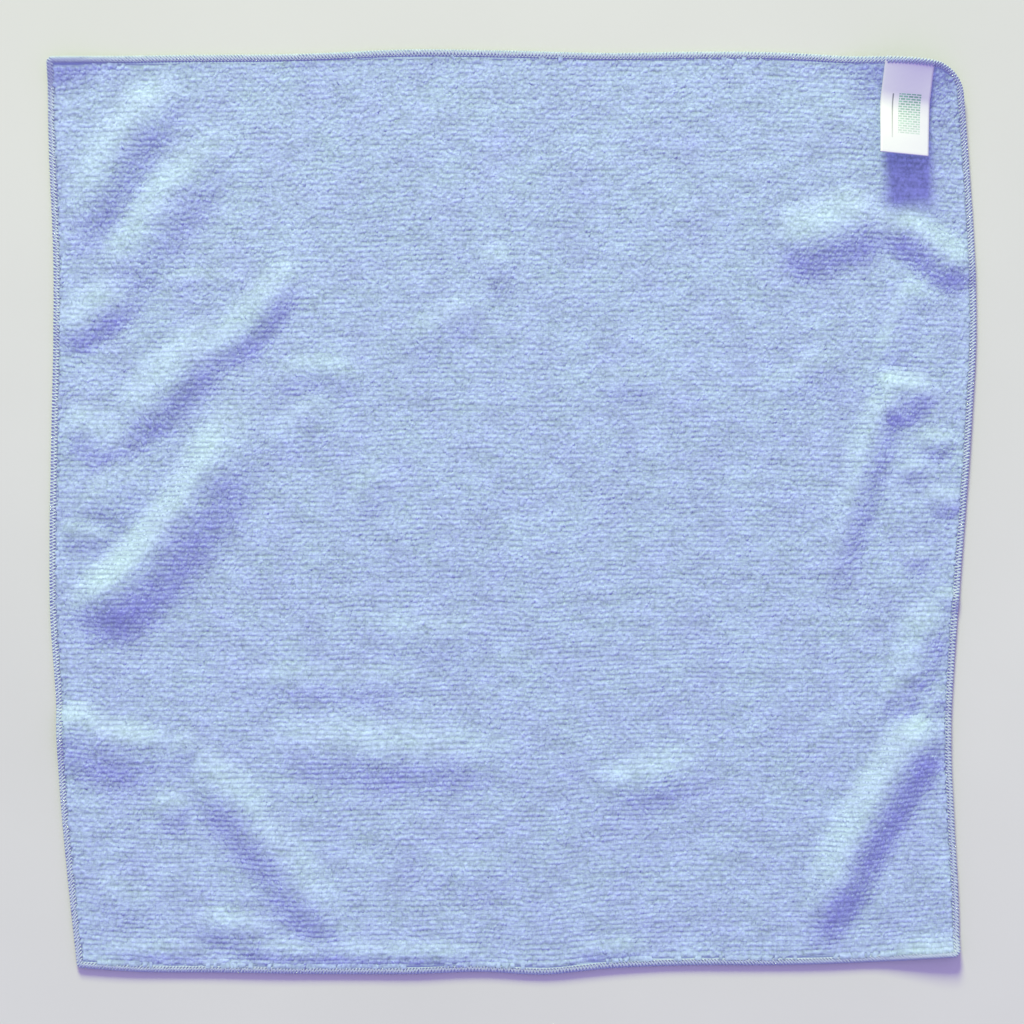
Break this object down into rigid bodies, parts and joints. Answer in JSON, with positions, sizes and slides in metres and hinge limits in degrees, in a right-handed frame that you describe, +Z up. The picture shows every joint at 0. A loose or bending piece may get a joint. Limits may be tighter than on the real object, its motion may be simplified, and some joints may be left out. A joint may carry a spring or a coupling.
{
  "type": "microfibre cleaning cloth",
  "caption": "Square terry microfibre cloth lying spread out, with soft folds at its sides, an overlocked edge and a sewn-in label.",
  "frame": {"origin": "on the surface that the cloth lies on, under the middle of its bounding box", "axes": "+Z up, away from the surface; +Y towards the edge that holds the label; +X to the right, seen from above"},
  "size_m": [0.3948, 0.3934, 0.0146],
  "materials": {
    "microfibre": "short looped pile in fine rows, soft, matt, pale blue",
    "label_satin": "smooth woven satin ribbon, white, slightly glossy"
  },
  "bodies": {
    "root": {"cloth": "microfibre", "label": "label_satin"}
  },
  "joints": []
}
